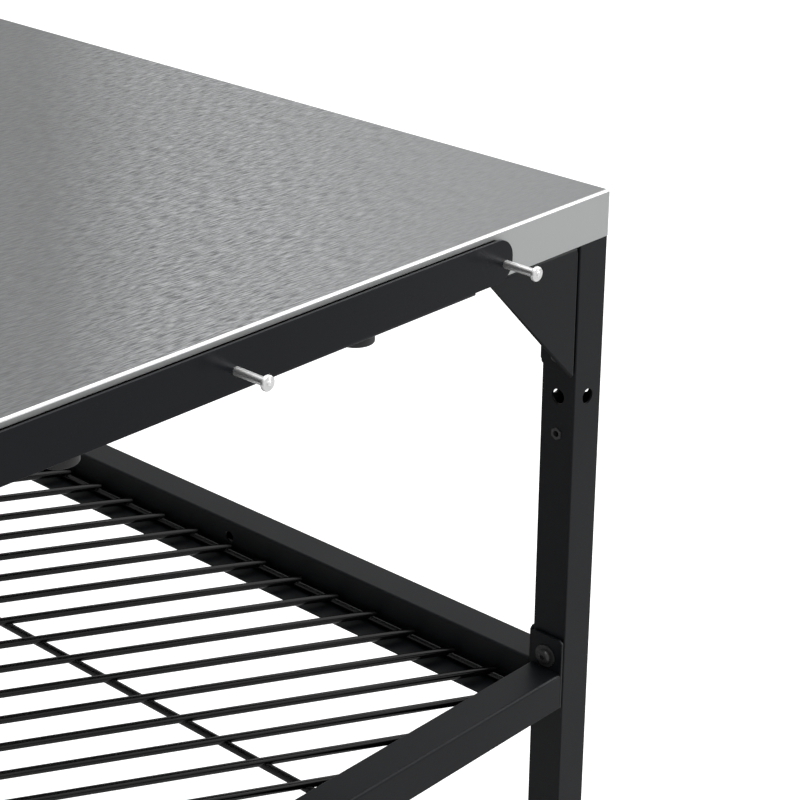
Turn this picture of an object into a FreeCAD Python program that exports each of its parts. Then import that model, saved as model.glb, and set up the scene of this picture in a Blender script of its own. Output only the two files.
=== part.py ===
import FreeCAD, Part
import math
import os

# Outdoor table for a pizza oven: a folded steel top on a black tube frame, with a wire
# shelf, and a hook rail with pegs that is clamped to the front edge.
# Millimetres, +Z up. The origin lies on the floor under the middle of the table, and the
# front, with the hook rail, faces -Y.

V = FreeCAD.Vector

# Overall sizes
TOP_WIDTH = 600.0
TOP_DEPTH = 800.0
TOP_HEIGHT = 900.0
GAP = 0.3                 # between pieces that lie close but move or are fitted later
FIT = 0.05                # radial clearance of a shaft in its hole
SHELF_HEIGHT = 588.9      # top of the shelf rails

# Folded top panel
TOP_SHEET = 0.8
APRON_HEIGHT = 28.3
APRON_BEND = 1.4

# Legs, square tube
LEG_SIZE = 25.0
LEG_WALL = 1.5
LEG_INSET = 0.1           # of a leg's outer faces from the apron's
LEG_BEND = 0.8
LEG_HOLE_RADIUS = 4.7
LEG_HOLE_DROP = 97.9     # from the apron's lower edge to the cross holes
FOOT_HEIGHT = 4.0
FOOT_INSET = 1.0
FOOT_DEPTH = 18.0         # of a foot's plug in the leg

# Upper frame
RAIL_THICKNESS = 20.0
RAIL_WALL = 1.5
BRACE_OFFSET = 140.0
BRACE_LIP = 10.0
BRACE_WIDTH = 25.0
BRACE_HEIGHT = 18.0
BRACE_SHEET = 1.2

# Gussets between the upper frame and the legs
GUSSET_SIZE = 80.0
GUSSET_SHEET = 1.5
GUSSET_FLANGE = 18.7
GUSSET_SIDE = 24.0
GUSSET_CHAMFER = 2.7
GUSSET_RELIEF = 3.3
GUSSET_NUT_DROPS = (22.7, 71.3)

# Flanges of the rivet nuts, which hold the bolted pieces off the legs
NUT_FLANGE = 1.0
SMALL_NUT_WIDTH = 9.0
LARGE_NUT_WIDTH = 11.0

# Spare threaded inserts for accessories, one in each leg
INSERT_DROP = 122.2       # below the apron
INSERT_FLANGE_WIDTH = 7.0
INSERT_FLANGE = 0.6
INSERT_WIDTH = 6.0
INSERT_LENGTH = 7.0
INSERT_THREAD = 4.0

# Shelf rails, folded sheet with a ledge for the rack
SHELF_RAIL_WIDTH = 25.0
SHELF_RAIL_HEIGHT = 24.7
SHELF_SHEET = 1.5
RAIL_LIP = 13.0           # of the outer wall's lower edge, folded in under the rail
LEDGE_WIDTH = 23.3
LEDGE_GAP = 0.5
WEB_HOLE_RADIUS = 4.0
WEB_HOLE_OFFSET = 97.1    # of a side rail's two holes from its middle
END_PLATE = 1.7
END_PLATE_RISE = 23.3     # above the rail's top
END_PLATE_CHAMFER = 2.0
SHELF_NUT_RISE = 8.9

# Wire rack
WIRE_RADIUS = 2.0
WIRE_SIDES = 20
WIRE_PITCH = 30.4
WIRE_ANGLE = 30.0
RACK_CLEARANCE = 1.0
FIRST_WIRE_INSET = 25.9   # from the rack's front edge to the first wire end at the right
CROSS_WIRE_INSET = 4.5
CROSS_WIRE_INNER = 98.0

# Hook rail and pegs
HOOK_RAIL_INSET = 90.7   # from the table's sides to the rail's ends
HOOK_RAIL_END = 30.7      # the plain end beyond the flange
HOOK_RAIL_SHEET = 1.7
HOOK_RAIL_STANDOFF = 2.3
HOOK_RAIL_RISE = 24.5     # its top above the apron's lower edge
HOOK_RAIL_CORNER = 11.5
HOOK_END_LIFT = 1.5       # the plain ends stop this much above the flange's underside
PEG_INSET = 6.0           # of the outer pegs from the rail's ends
PEG_RISE = 10.5
PEG_RADIUS = 2.35
PEG_LENGTH = 23.7
PEG_HEAD_RADIUS = 4.7
PEG_HEAD_THICKNESS = 2.0
PEG_HEAD_EDGE = 0.8

# Clamp knobs under the hook rail
KNOB_X = 100.0
KNOB_RADIUS = 10.3
KNOB_HEIGHT = 6.9
CLAMP_STUD_RADIUS = 2.5
CLAMP_STUD_REACH = 8.0   # above the rail's underside

# Places worked out from the sizes above
LEG_X = TOP_WIDTH / 2 - LEG_INSET - LEG_SIZE / 2
LEG_Y = TOP_DEPTH / 2 - LEG_INSET - LEG_SIZE / 2
LEG_HALF = LEG_SIZE / 2
UNDERSIDE = TOP_HEIGHT - TOP_SHEET
APRON_BOTTOM = TOP_HEIGHT - APRON_HEIGHT
STAND_OFF = NUT_FLANGE
SHELF_BOTTOM = SHELF_HEIGHT - SHELF_RAIL_HEIGHT
LEDGE_TOP = SHELF_BOTTOM + SHELF_SHEET
WEB_X = LEG_X - SHELF_RAIL_WIDTH / 2
WEB_Y = LEG_Y - SHELF_RAIL_WIDTH / 2
RACK_X = WEB_X - RACK_CLEARANCE
RACK_Y = WEB_Y - RACK_CLEARANCE
CROSS_WIRE_Z = LEDGE_TOP + GAP + WIRE_RADIUS
MAIN_WIRE_Z = CROSS_WIRE_Z + 2 * WIRE_RADIUS
FRONT_FACE = -TOP_DEPTH / 2
HOOK_FACE = FRONT_FACE - HOOK_RAIL_STANDOFF - HOOK_RAIL_SHEET
HOOK_RAIL_HALF = TOP_WIDTH / 2 - HOOK_RAIL_INSET
HOOK_FLANGE_HALF = HOOK_RAIL_HALF - HOOK_RAIL_END
PEG_PITCH = HOOK_RAIL_HALF - PEG_INSET
HOOK_FLANGE_TOP = APRON_BOTTOM - GAP
HOOK_FLANGE_BOTTOM = HOOK_FLANGE_TOP - HOOK_RAIL_SHEET
RAIL_FACE_X = TOP_WIDTH / 2 - TOP_SHEET - GAP
RAIL_FACE_Y = TOP_DEPTH / 2 - TOP_SHEET - GAP
KNOB_Y = -(RAIL_FACE_Y - RAIL_THICKNESS / 2)
CORNERS = {"front_left": (-1, -1), "front_right": (1, -1), "rear_left": (-1, 1), "rear_right": (1, 1)}


# Basic shapes

def on_xy(u, v):
    return V(u, v, 0)


def on_xz(u, v):
    return V(u, 0, v)


def on_yz(u, v):
    return V(0, u, v)


def outline(points, plane):
    """Closed wire through (u, v, radius) corners, each rounded by its own radius."""
    edges = []
    starts = []
    ends = []
    arcs = []
    count = len(points)
    for i, (u, v, radius) in enumerate(points):
        corner = plane(u, v)
        before = plane(*points[i - 1][:2])
        after = plane(*points[(i + 1) % count][:2])
        back = (before - corner).normalize()
        ahead = (after - corner).normalize()
        if radius <= 0:
            starts.append(corner)
            ends.append(corner)
            arcs.append(None)
            continue
        half = back.getAngle(ahead) / 2
        reach = radius / math.tan(half)
        bisector = (back + ahead).normalize()
        middle = corner + bisector * (radius / math.sin(half) - radius)
        starts.append(corner + back * reach)
        ends.append(corner + ahead * reach)
        arcs.append(middle)
    for i in range(count):
        if arcs[i]:
            edges.append(Part.Arc(starts[i], arcs[i], ends[i]).toShape())
        following = starts[(i + 1) % count]
        if (following - ends[i]).Length > 1e-6:
            edges.append(Part.LineSegment(ends[i], following).toShape())
    return Part.Wire(edges)


def prism(points, plane, start, along):
    """Solid made from an outline, moved to start and drawn out by the vector along."""
    solid = Part.Face(outline(points, plane)).extrude(along)
    solid.translate(start)
    return solid


def fold(path, sheet):
    """Outline of a folded sheet. The path is the sheet's right-hand face, seen along it.
    A bend is sharp inside and rounded by the sheet's thickness outside."""
    left = []
    radii = []
    last = len(path) - 1
    for i, (u, v) in enumerate(path):
        if i > 0:
            du, dv = u - path[i - 1][0], v - path[i - 1][1]
            into = (du / math.hypot(du, dv), dv / math.hypot(du, dv))
        if i < last:
            du, dv = path[i + 1][0] - u, path[i + 1][1] - v
            out = (du / math.hypot(du, dv), dv / math.hypot(du, dv))
        if i == 0:
            into = out
        if i == last:
            out = into
        turn = into[0] * out[1] - into[1] * out[0]
        share = sheet / (1 + into[0] * out[0] + into[1] * out[1])
        left.append((u - (into[1] + out[1]) * share, v + (into[0] + out[0]) * share))
        radii.append((sheet if turn > 1e-9 else 0, sheet if turn < -1e-9 else 0))
    right_side = [(u, v, radii[i][0]) for i, (u, v) in enumerate(path)]
    left_side = [(u, v, radii[i][1]) for i, (u, v) in enumerate(left)]
    return right_side + left_side[::-1]


def rectangle(half_u, half_v, radius):
    return [(-half_u, -half_v, radius), (half_u, -half_v, radius),
            (half_u, half_v, radius), (-half_u, half_v, radius)]


def polygon(sides, reach):
    steps = [2 * math.pi / sides * i for i in range(sides)]
    return [(reach * math.cos(a), reach * math.sin(a), 0) for a in steps]


def hexagon(width):
    return polygon(6, width / 2 / math.cos(math.pi / 6))


def block(low, high):
    return Part.makeBox(high[0] - low[0], high[1] - low[1], high[2] - low[2], V(*low))


def rod(radius, start, end):
    along = end - start
    return Part.makeCylinder(radius, along.Length, start, along)


def aimed(shape, place, axis):
    """Copy of a shape built about +Z, turned to the axis and moved to its place."""
    copy = shape.copy()
    turn = FreeCAD.Rotation(V(0, 0, 1), axis)
    copy.Placement = FreeCAD.Placement(place, turn).multiply(copy.Placement)
    return copy


def swapped(shape):
    """Mirror image that changes X and Y over."""
    return shape.mirror(V(0, 0, 0), V(1, -1, 0))


def at_corner(shape, side_x, side_y):
    """A piece built about the rear right leg's axis, mirrored to another leg."""
    if side_x < 0:
        shape = shape.mirror(V(0, 0, 0), V(1, 0, 0))
    if side_y < 0:
        shape = shape.mirror(V(0, 0, 0), V(0, 1, 0))
    shape = shape.copy()
    shape.translate(V(side_x * LEG_X, side_y * LEG_Y, 0))
    return shape


# Top panel and upper frame

def top_panel():
    """Stainless sheet folded down on all four sides, with welded and ground corners."""
    half_x, half_y = TOP_WIDTH / 2, TOP_DEPTH / 2
    outer = block((-half_x, -half_y, APRON_BOTTOM), (half_x, half_y, TOP_HEIGHT))
    rim = [e for e in outer.Edges if abs(e.BoundBox.ZMin - TOP_HEIGHT) < 1e-6]
    inner = block((TOP_SHEET - half_x, TOP_SHEET - half_y, APRON_BOTTOM - 1),
                  (half_x - TOP_SHEET, half_y - TOP_SHEET, UNDERSIDE))
    return outer.makeFillet(APRON_BEND, rim).cut(inner)


def frame_tube(half_length):
    """Rectangular tube of the upper frame, along X, with its outer face on y = 0."""
    low = (-half_length, -RAIL_THICKNESS, APRON_BOTTOM)
    high = (half_length, 0, UNDERSIDE)
    bore_low = (low[0] - 1, low[1] + RAIL_WALL, low[2] + RAIL_WALL)
    bore_high = (high[0] + 1, high[1] - RAIL_WALL, high[2] - RAIL_WALL)
    return block(low, high).cut(block(bore_low, bore_high))


def rear_frame_rail():
    """The front and rear rails run the whole way across."""
    tube = frame_tube(RAIL_FACE_X)
    tube.translate(V(0, RAIL_FACE_Y, 0))
    return tube


def front_frame_rail():
    """Like the rear rail, with a hole below for each clamp screw of the hook rail."""
    tube = rear_frame_rail().mirror(V(0, 0, 0), V(0, 1, 0))
    for x in (-KNOB_X, KNOB_X):
        bottom = V(x, KNOB_Y, APRON_BOTTOM)
        tube = tube.cut(rod(CLAMP_STUD_RADIUS + GAP, bottom - V(0, 0, 1), bottom + V(0, 0, RAIL_WALL + 1)))
    return tube


def right_frame_rail():
    """The side rails are welded in between the other two."""
    tube = frame_tube(RAIL_FACE_Y - RAIL_THICKNESS)
    tube.rotate(V(0, 0, 0), V(0, 0, 1), -90)
    tube.translate(V(RAIL_FACE_X, 0, 0))
    return tube


def rear_brace():
    """Hat channel under the sheet, welded between the side rails."""
    half = RAIL_FACE_X - RAIL_THICKNESS
    lip_edge = BRACE_WIDTH / 2 + BRACE_LIP
    web = BRACE_WIDTH / 2
    lip, bottom = UNDERSIDE - BRACE_SHEET, UNDERSIDE - BRACE_HEIGHT
    path = [(-lip_edge, lip), (-web, lip), (-web, bottom), (web, bottom), (web, lip), (lip_edge, lip)]
    return prism(fold(path, BRACE_SHEET), on_yz, V(-half, BRACE_OFFSET, 0), V(2 * half, 0, 0))


def gusset():
    """Gusset beside the leg, in the plane of its +Y face: a folded triangle with a top
    flange welded under the frame rail and a side flange bolted to the leg."""
    near = -LEG_HALF - STAND_OFF
    far = -LEG_HALF - GUSSET_SIZE
    face = LEG_HALF
    top, low = APRON_BOTTOM, APRON_BOTTOM - GUSSET_SIZE
    upper = fold([(face, low), (face, top), (face - GUSSET_FLANGE, top)], GUSSET_SHEET)
    upright = fold([(near, face - GUSSET_SIDE), (near, face), (far, face)], GUSSET_SHEET)
    start = near - GUSSET_SHEET
    plate = prism(upper, on_yz, V(far, 0, 0), V(start - far, 0, 0))
    side = prism(upright, on_xy, V(0, 0, low), V(0, 0, GUSSET_SIZE - GUSSET_RELIEF))
    tip = near - GUSSET_SHEET
    beyond = far - 1
    edge = top - GUSSET_SHEET
    diagonal = prism([(beyond, edge, 0), (far, edge, 0), (tip, low, 0), (beyond, low, 0)],
                     on_xz, V(0, face + 1, 0), V(0, -GUSSET_SIDE - 2, 0))
    back = face - GUSSET_SIDE
    chamfer = prism([(back, low, 0), (back + GUSSET_CHAMFER, low, 0), (back, low + GUSSET_CHAMFER, 0)],
                    on_yz, V(tip - 1, 0, 0), V(GUSSET_SHEET + 2, 0, 0))
    return plate.fuse(side).cut(diagonal).cut(chamfer).removeSplitter()


# Legs and what is fixed in them

def on_leg(shape, height):
    """A piece built on z = 0, set on the inner X face of a leg at a height."""
    return aimed(shape, V(-LEG_HALF, 0, height), V(-1, 0, 0))


def leg():
    """Square tube about its own axis, with two cross holes and a spare insert's hole. It
    ends under the frame, which stands on it."""
    tube = prism(rectangle(LEG_HALF, LEG_HALF, LEG_BEND), on_xy,
                 V(0, 0, FOOT_HEIGHT), V(0, 0, APRON_BOTTOM - FOOT_HEIGHT))
    inside, reach = LEG_HALF - LEG_WALL, LEG_HALF + 1
    tube = tube.cut(block((-inside, -inside, 0), (inside, inside, TOP_HEIGHT)))
    cross = APRON_BOTTOM - LEG_HOLE_DROP
    through = rod(LEG_HOLE_RADIUS, V(-reach, 0, cross), V(reach, 0, cross))
    hole = prism(hexagon(INSERT_WIDTH + FIT), on_xy, V(0, 0, -INSERT_LENGTH), V(0, 0, INSERT_LENGTH + 1))
    return tube.cut(through).cut(swapped(through)).cut(on_leg(hole, APRON_BOTTOM - INSERT_DROP))


def leg_rivet_nuts():
    """Hexagonal flanges of the rivet nuts, on both inner faces of each leg."""
    places = [(APRON_BOTTOM - drop, SMALL_NUT_WIDTH) for drop in GUSSET_NUT_DROPS]
    places.append((SHELF_HEIGHT + SHELF_NUT_RISE, LARGE_NUT_WIDTH))
    nuts = []
    for height, width in places:
        nut = on_leg(prism(hexagon(width), on_xy, V(0, 0, 0), V(0, 0, NUT_FLANGE)), height)
        for side in CORNERS.values():
            nuts.append(at_corner(nut, *side))
            nuts.append(at_corner(swapped(nut), *side))
    return nuts


def accessory_inserts():
    """Hexagonal inserts: a thin flange on the leg's face, and a threaded body in the tube."""
    body = prism(hexagon(INSERT_WIDTH), on_xy, V(0, 0, -INSERT_LENGTH), V(0, 0, INSERT_LENGTH))
    flange = prism(hexagon(INSERT_FLANGE_WIDTH), on_xy, V(0, 0, 0), V(0, 0, INSERT_FLANGE))
    thread = rod(INSERT_THREAD / 2, V(0, 0, -INSERT_LENGTH - 1), V(0, 0, INSERT_LENGTH))
    insert = on_leg(body.fuse(flange).cut(thread), APRON_BOTTOM - INSERT_DROP)
    return [at_corner(insert, *side) for side in CORNERS.values()]


def leg_feet():
    """Plastic feet: a square pad under the leg, and a plug inside the tube."""
    pad_half, plug_half = LEG_HALF - FOOT_INSET, LEG_HALF - LEG_WALL - GAP
    pad = block((-pad_half, -pad_half, 0), (pad_half, pad_half, FOOT_HEIGHT))
    plug = block((-plug_half, -plug_half, FOOT_HEIGHT), (plug_half, plug_half, FOOT_HEIGHT + FOOT_DEPTH))
    return [at_corner(pad.fuse(plug), *side) for side in CORNERS.values()]


# Shelf frame

def folded_rail(half_length):
    """Folded shelf rail along X about y = 0. The sheet starts in a lip underneath, goes up
    the outer face on +Y, over the top and down the inner web, and ends in a ledge towards
    -Y. Its end plates are welded on and bolted to the legs."""
    half = SHELF_RAIL_WIDTH / 2
    rail_half = half_length - END_PLATE
    path = [(half - RAIL_LIP, SHELF_BOTTOM), (half, SHELF_BOTTOM), (half, SHELF_HEIGHT),
            (-half, SHELF_HEIGHT), (-half, LEDGE_TOP), (-half - LEDGE_WIDTH, LEDGE_TOP)]
    rail = prism(fold(path, SHELF_SHEET), on_yz, V(-rail_half, 0, 0), V(2 * rail_half, 0, 0))
    low, high = SHELF_BOTTOM, SHELF_HEIGHT + END_PLATE_RISE
    corner = END_PLATE_CHAMFER
    plate = prism([(-LEG_HALF, low, 0), (LEG_HALF, low, 0), (LEG_HALF, high - corner, 0),
                   (LEG_HALF - corner, high, 0), (corner - LEG_HALF, high, 0), (-LEG_HALF, high - corner, 0)],
                  on_yz, V(rail_half, 0, 0), V(END_PLATE, 0, 0))
    return rail.fuse(plate).fuse(plate.mirror(V(0, 0, 0), V(1, 0, 0)))


def rear_shelf_rail():
    """Its ledge stops at the side rails' ledges."""
    rail = folded_rail(LEG_X - LEG_HALF - STAND_OFF)
    clear = WEB_X - LEDGE_WIDTH - LEDGE_GAP
    half = SHELF_RAIL_WIDTH / 2
    for side in (-1, 1):
        ends = sorted((side * clear, side * LEG_X))
        rail = rail.cut(block((ends[0], -half - LEDGE_WIDTH - 1, SHELF_BOTTOM - 1),
                              (ends[1], -half, LEDGE_TOP)))
    rail.translate(V(0, LEG_Y, 0))
    return rail


def right_shelf_rail():
    """Side rail, with two holes in its inner web."""
    rail = folded_rail(LEG_Y - LEG_HALF - STAND_OFF)
    for x in (-WEB_HOLE_OFFSET, WEB_HOLE_OFFSET):
        hole = V(x, -SHELF_RAIL_WIDTH / 2, (SHELF_BOTTOM + SHELF_HEIGHT) / 2)
        rail = rail.cut(rod(WEB_HOLE_RADIUS, hole - V(0, 1, 0), hole + V(0, SHELF_SHEET + 1, 0)))
    rail.rotate(V(0, 0, 0), V(0, 0, 1), -90)
    rail.translate(V(LEG_X, 0, 0))
    return rail


# Wire rack

def wire(start, end):
    """Round wire, with enough flat sides to look round and few enough to stay light."""
    along = end - start
    bar = prism(polygon(WIRE_SIDES, WIRE_RADIUS), on_xy, V(0, 0, 0), V(0, 0, along.Length))
    return aimed(bar, start, along)


def main_wire(offset):
    """Slanting wire whose line meets the rack's right edge at y = offset. Its square-cut
    ends stay within the rack's edges. Returns nothing where the line misses the rack."""
    angle = math.radians(WIRE_ANGLE)
    slope = math.tan(angle)
    half_x = RACK_X - WIRE_RADIUS * math.sin(angle)
    half_y = RACK_Y - WIRE_RADIUS * math.cos(angle)
    left = max(-half_x, RACK_X - (half_y - offset) / slope)
    right = min(half_x, RACK_X - (-half_y - offset) / slope)
    if right - left < WIRE_PITCH / 2:
        return None
    start = V(left, offset + (RACK_X - left) * slope, MAIN_WIRE_Z)
    end = V(right, offset + (RACK_X - right) * slope, MAIN_WIRE_Z)
    return wire(start, end)


def wire_rack():
    """Parallel wires at a slant, spot-welded on four cross wires that rest on the ledges."""
    edge, half = RACK_X - CROSS_WIRE_INSET, RACK_Y - CROSS_WIRE_INSET
    wires = [wire(V(x, -half, CROSS_WIRE_Z), V(x, half, CROSS_WIRE_Z))
             for x in (-edge, -CROSS_WIRE_INNER, CROSS_WIRE_INNER, edge)]
    step = WIRE_PITCH / math.cos(math.radians(WIRE_ANGLE))
    reach = 2 * RACK_X * math.tan(math.radians(WIRE_ANGLE)) + 2 * RACK_Y
    count = int(reach / step)
    for i in range(-count, count + 1):
        slanting = main_wire(FIRST_WIRE_INSET - RACK_Y + i * step)
        if slanting:
            wires.append(slanting)
    return wires


# Hook rail, pegs and clamp screws

def hook_rail():
    """Folded rail in front of the apron: an upright face with rounded ends, and a flange
    back under the front frame rail, where two clamp screws hold it."""
    top = APRON_BOTTOM + HOOK_RAIL_RISE
    end_bottom = HOOK_FLANGE_BOTTOM + HOOK_END_LIFT
    rear = -(RAIL_FACE_Y - RAIL_THICKNESS)
    path = [(HOOK_FACE, top), (HOOK_FACE, HOOK_FLANGE_BOTTOM), (rear, HOOK_FLANGE_BOTTOM)]
    rail = prism(fold(path, HOOK_RAIL_SHEET), on_yz,
                 V(-HOOK_FLANGE_HALF, 0, 0), V(2 * HOOK_FLANGE_HALF, 0, 0))
    end = prism([(HOOK_FLANGE_HALF, end_bottom, 0), (HOOK_RAIL_HALF, end_bottom, HOOK_RAIL_CORNER),
                 (HOOK_RAIL_HALF, top, HOOK_RAIL_CORNER), (HOOK_FLANGE_HALF, top, 0)],
                on_xz, V(0, HOOK_FACE, 0), V(0, HOOK_RAIL_SHEET, 0))
    rail = rail.fuse(end).fuse(end.mirror(V(0, 0, 0), V(1, 0, 0))).removeSplitter()
    for x in (-KNOB_X, KNOB_X):
        place = V(x, KNOB_Y, HOOK_FLANGE_BOTTOM - 1)
        rail = rail.cut(rod(CLAMP_STUD_RADIUS + GAP, place, place + V(0, 0, HOOK_RAIL_SHEET + 2)))
    return rail


def hook_pegs():
    """Turned pegs with a round head, screwed to the hook rail from behind."""
    head_start = PEG_LENGTH - PEG_HEAD_THICKNESS
    head = Part.makeCylinder(PEG_HEAD_RADIUS, PEG_HEAD_THICKNESS, V(0, 0, head_start))
    rim = [e for e in head.Edges if abs(e.BoundBox.ZMin - PEG_LENGTH) < 1e-6]
    peg = head.makeChamfer(PEG_HEAD_EDGE, rim).fuse(Part.makeCylinder(PEG_RADIUS, head_start))
    return [aimed(peg, V(x, HOOK_FACE, APRON_BOTTOM + PEG_RISE), V(0, -1, 0))
            for x in (-PEG_PITCH, 0, PEG_PITCH)]


def clamp_stud(x):
    low, high = HOOK_FLANGE_BOTTOM - GAP, APRON_BOTTOM + CLAMP_STUD_REACH
    return rod(CLAMP_STUD_RADIUS, V(x, KNOB_Y, low), V(x, KNOB_Y, high))


def clamp_knob(x):
    """Round knob on the lower end of the stud."""
    top = HOOK_FLANGE_BOTTOM - GAP
    return rod(KNOB_RADIUS, V(x, KNOB_Y, top - KNOB_HEIGHT), V(x, KNOB_Y, top))


# The whole table, one file for each node

def build():
    nodes = {}
    nodes["top_panel"] = [top_panel()]
    nodes["front_frame_rail"] = [front_frame_rail()]
    nodes["rear_frame_rail"] = [rear_frame_rail()]
    nodes["right_frame_rail"] = [right_frame_rail()]
    nodes["left_frame_rail"] = [right_frame_rail().mirror(V(0, 0, 0), V(1, 0, 0))]
    nodes["rear_brace"] = [rear_brace()]
    nodes["front_brace"] = [rear_brace().mirror(V(0, 0, 0), V(0, 1, 0))]
    nodes["rear_shelf_rail"] = [rear_shelf_rail()]
    nodes["front_shelf_rail"] = [rear_shelf_rail().mirror(V(0, 0, 0), V(0, 1, 0))]
    nodes["right_shelf_rail"] = [right_shelf_rail()]
    nodes["left_shelf_rail"] = [right_shelf_rail().mirror(V(0, 0, 0), V(1, 0, 0))]
    nodes["leg_rivet_nuts"] = leg_rivet_nuts()
    nodes["accessory_inserts"] = accessory_inserts()
    nodes["leg_feet"] = leg_feet()
    nodes["wire_rack"] = wire_rack()
    nodes["hook_rail"] = [hook_rail()]
    nodes["hook_pegs"] = hook_pegs()
    for name, x in (("left", -KNOB_X), ("right", KNOB_X)):
        nodes["clamp_stud_" + name] = [clamp_stud(x)]
        nodes["clamp_knob_" + name] = [clamp_knob(x)]
    for name, side in CORNERS.items():
        nodes["leg_" + name] = [at_corner(leg(), *side)]
        nodes["gusset_" + name + "_lengthwise"] = [at_corner(gusset(), *side)]
        nodes["gusset_" + name + "_crosswise"] = [at_corner(swapped(gusset()), *side)]
    return nodes


os.makedirs("parts", exist_ok=True)
for node, solids in build().items():
    solids = [s for shape in solids for s in shape.Solids]
    shape = solids[0] if len(solids) == 1 else Part.makeCompound(solids)
    if not shape.isValid():
        print("not valid:", node)
    shape.exportStep("parts/" + node + ".step")
    print(node, len(solids), round(shape.Volume / 1000, 2))
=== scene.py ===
import math

import bmesh
import bpy
from mathutils import Matrix, Vector


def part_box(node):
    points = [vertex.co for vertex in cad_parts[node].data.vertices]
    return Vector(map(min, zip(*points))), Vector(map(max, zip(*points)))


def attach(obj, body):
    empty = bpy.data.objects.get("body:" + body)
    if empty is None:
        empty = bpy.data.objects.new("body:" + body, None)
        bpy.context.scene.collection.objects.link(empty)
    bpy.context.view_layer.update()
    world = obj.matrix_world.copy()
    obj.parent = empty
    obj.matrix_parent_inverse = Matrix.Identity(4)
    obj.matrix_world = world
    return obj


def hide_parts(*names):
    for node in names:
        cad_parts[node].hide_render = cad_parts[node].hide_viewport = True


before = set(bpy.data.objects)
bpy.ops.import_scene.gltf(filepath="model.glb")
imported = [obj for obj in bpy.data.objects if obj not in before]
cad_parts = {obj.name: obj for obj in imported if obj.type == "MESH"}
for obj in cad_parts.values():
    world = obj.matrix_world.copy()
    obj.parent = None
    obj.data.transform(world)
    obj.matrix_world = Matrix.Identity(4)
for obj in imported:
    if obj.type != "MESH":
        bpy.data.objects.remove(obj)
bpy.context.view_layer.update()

# Studio. The table stands on a white floor, lit by two softboxes and by white walls that are
# brightest overhead and at the front right. A long lens looks down on its front right corner.
# Lengths here and below are in metres.
CAMERA_PLACE = Vector((-0.6909, -1.1462, 1.3175))
CAMERA_HEADING = 47.474   # degrees to the right of straight ahead
CAMERA_TILT = 24.055      # degrees below level
CAMERA_ROLL = 0.36        # degrees
LENS = 101.65             # millimetres, as the sensor's width is
SENSOR = 36.0
FLOOR_SIZE = 60.0
BRIGHT_SIDE = (0.68, -0.73, 0.0)  # the front right
SKY_DIM = 0.52            # away from the bright side
SKY_BRIGHT = 0.90         # towards the bright side
SKY_ABOVE = 1.7
SIDE_FADE = (-0.30, 0.03)  # how far a direction points to the bright side, from dim to bright
ABOVE_FADE = (0.5, 0.9)   # how far it points up, from the walls to overhead
FLOOR_GREY = 0.5
FLOOR_GLOW = 0.8          # seen by the camera only

camera = bpy.data.objects.new("camera", bpy.data.cameras.new("camera"))
bpy.context.scene.collection.objects.link(camera)
bpy.context.scene.camera = camera
camera.data.lens = LENS
camera.data.sensor_width = SENSOR
camera.data.clip_end = 200.0
camera.matrix_world = (
    Matrix.Translation(CAMERA_PLACE)
    @ Matrix.Rotation(math.radians(-CAMERA_HEADING), 4, "Z")
    @ Matrix.Rotation(math.radians(90 - CAMERA_TILT), 4, "X")
    @ Matrix.Rotation(math.radians(CAMERA_ROLL), 4, "Z")
)
bpy.context.scene.view_settings.view_transform = "Standard"


def add_node(tree, kind, x, y, **settings):
    """A node at a place in its tree, with its settings."""
    node = tree.nodes.new(kind)
    node.location = (x, y)
    for key, value in settings.items():
        setattr(node, key, value)
    return node


sky = bpy.data.worlds.new("studio")
bpy.context.scene.world = sky
sky.use_nodes = True
tree = sky.node_tree
tree.nodes.clear()
direction = add_node(tree, "ShaderNodeTexCoord", -1000, 0)
bright_side = add_node(tree, "ShaderNodeVectorMath", -800, 0, operation="DOT_PRODUCT")
bright_side.inputs[1].default_value = BRIGHT_SIDE
fading = add_node(tree, "ShaderNodeMapRange", -600, 0, interpolation_type="SMOOTHSTEP")
fading.inputs["From Min"].default_value = SIDE_FADE[0]
fading.inputs["From Max"].default_value = SIDE_FADE[1]
fading.inputs["To Min"].default_value = SKY_DIM
fading.inputs["To Max"].default_value = SKY_BRIGHT
axes = add_node(tree, "ShaderNodeSeparateXYZ", -800, -300)
height = add_node(tree, "ShaderNodeMapRange", -600, -300, interpolation_type="SMOOTHSTEP")
height.inputs["From Min"].default_value = ABOVE_FADE[0]
height.inputs["From Max"].default_value = ABOVE_FADE[1]
overhead = add_node(tree, "ShaderNodeMix", -400, -200)
overhead.inputs["B"].default_value = SKY_ABOVE
seen = add_node(tree, "ShaderNodeLightPath", -600, 300)
strength = add_node(tree, "ShaderNodeMix", -400, 0)
strength.inputs["B"].default_value = 1.0
backdrop = add_node(tree, "ShaderNodeBackground", -200, 0)
world_out = add_node(tree, "ShaderNodeOutputWorld", 0, 0)
tree.links.new(direction.outputs["Generated"], bright_side.inputs[0])
tree.links.new(bright_side.outputs["Value"], fading.inputs["Value"])
tree.links.new(direction.outputs["Generated"], axes.inputs["Vector"])
tree.links.new(axes.outputs["Z"], height.inputs["Value"])
tree.links.new(fading.outputs["Result"], overhead.inputs["A"])
tree.links.new(height.outputs["Result"], overhead.inputs["Factor"])
tree.links.new(overhead.outputs["Result"], strength.inputs["A"])
tree.links.new(seen.outputs["Is Camera Ray"], strength.inputs["Factor"])
tree.links.new(strength.outputs["Result"], backdrop.inputs["Strength"])
tree.links.new(backdrop.outputs["Background"], world_out.inputs["Surface"])


def studio_light(name, place, aim, size, power):
    """Square softbox hung at a place and turned to a point, with its power in watts."""
    lamp = bpy.data.objects.new(name, bpy.data.lights.new(name, "AREA"))
    bpy.context.scene.collection.objects.link(lamp)
    lamp.data.shape = "SQUARE"
    lamp.data.size = size
    lamp.data.energy = power
    lamp.location = place
    lamp.rotation_mode = "QUATERNION"
    lamp.rotation_quaternion = (Vector(aim) - Vector(place)).to_track_quat("-Z", "Y")


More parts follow.
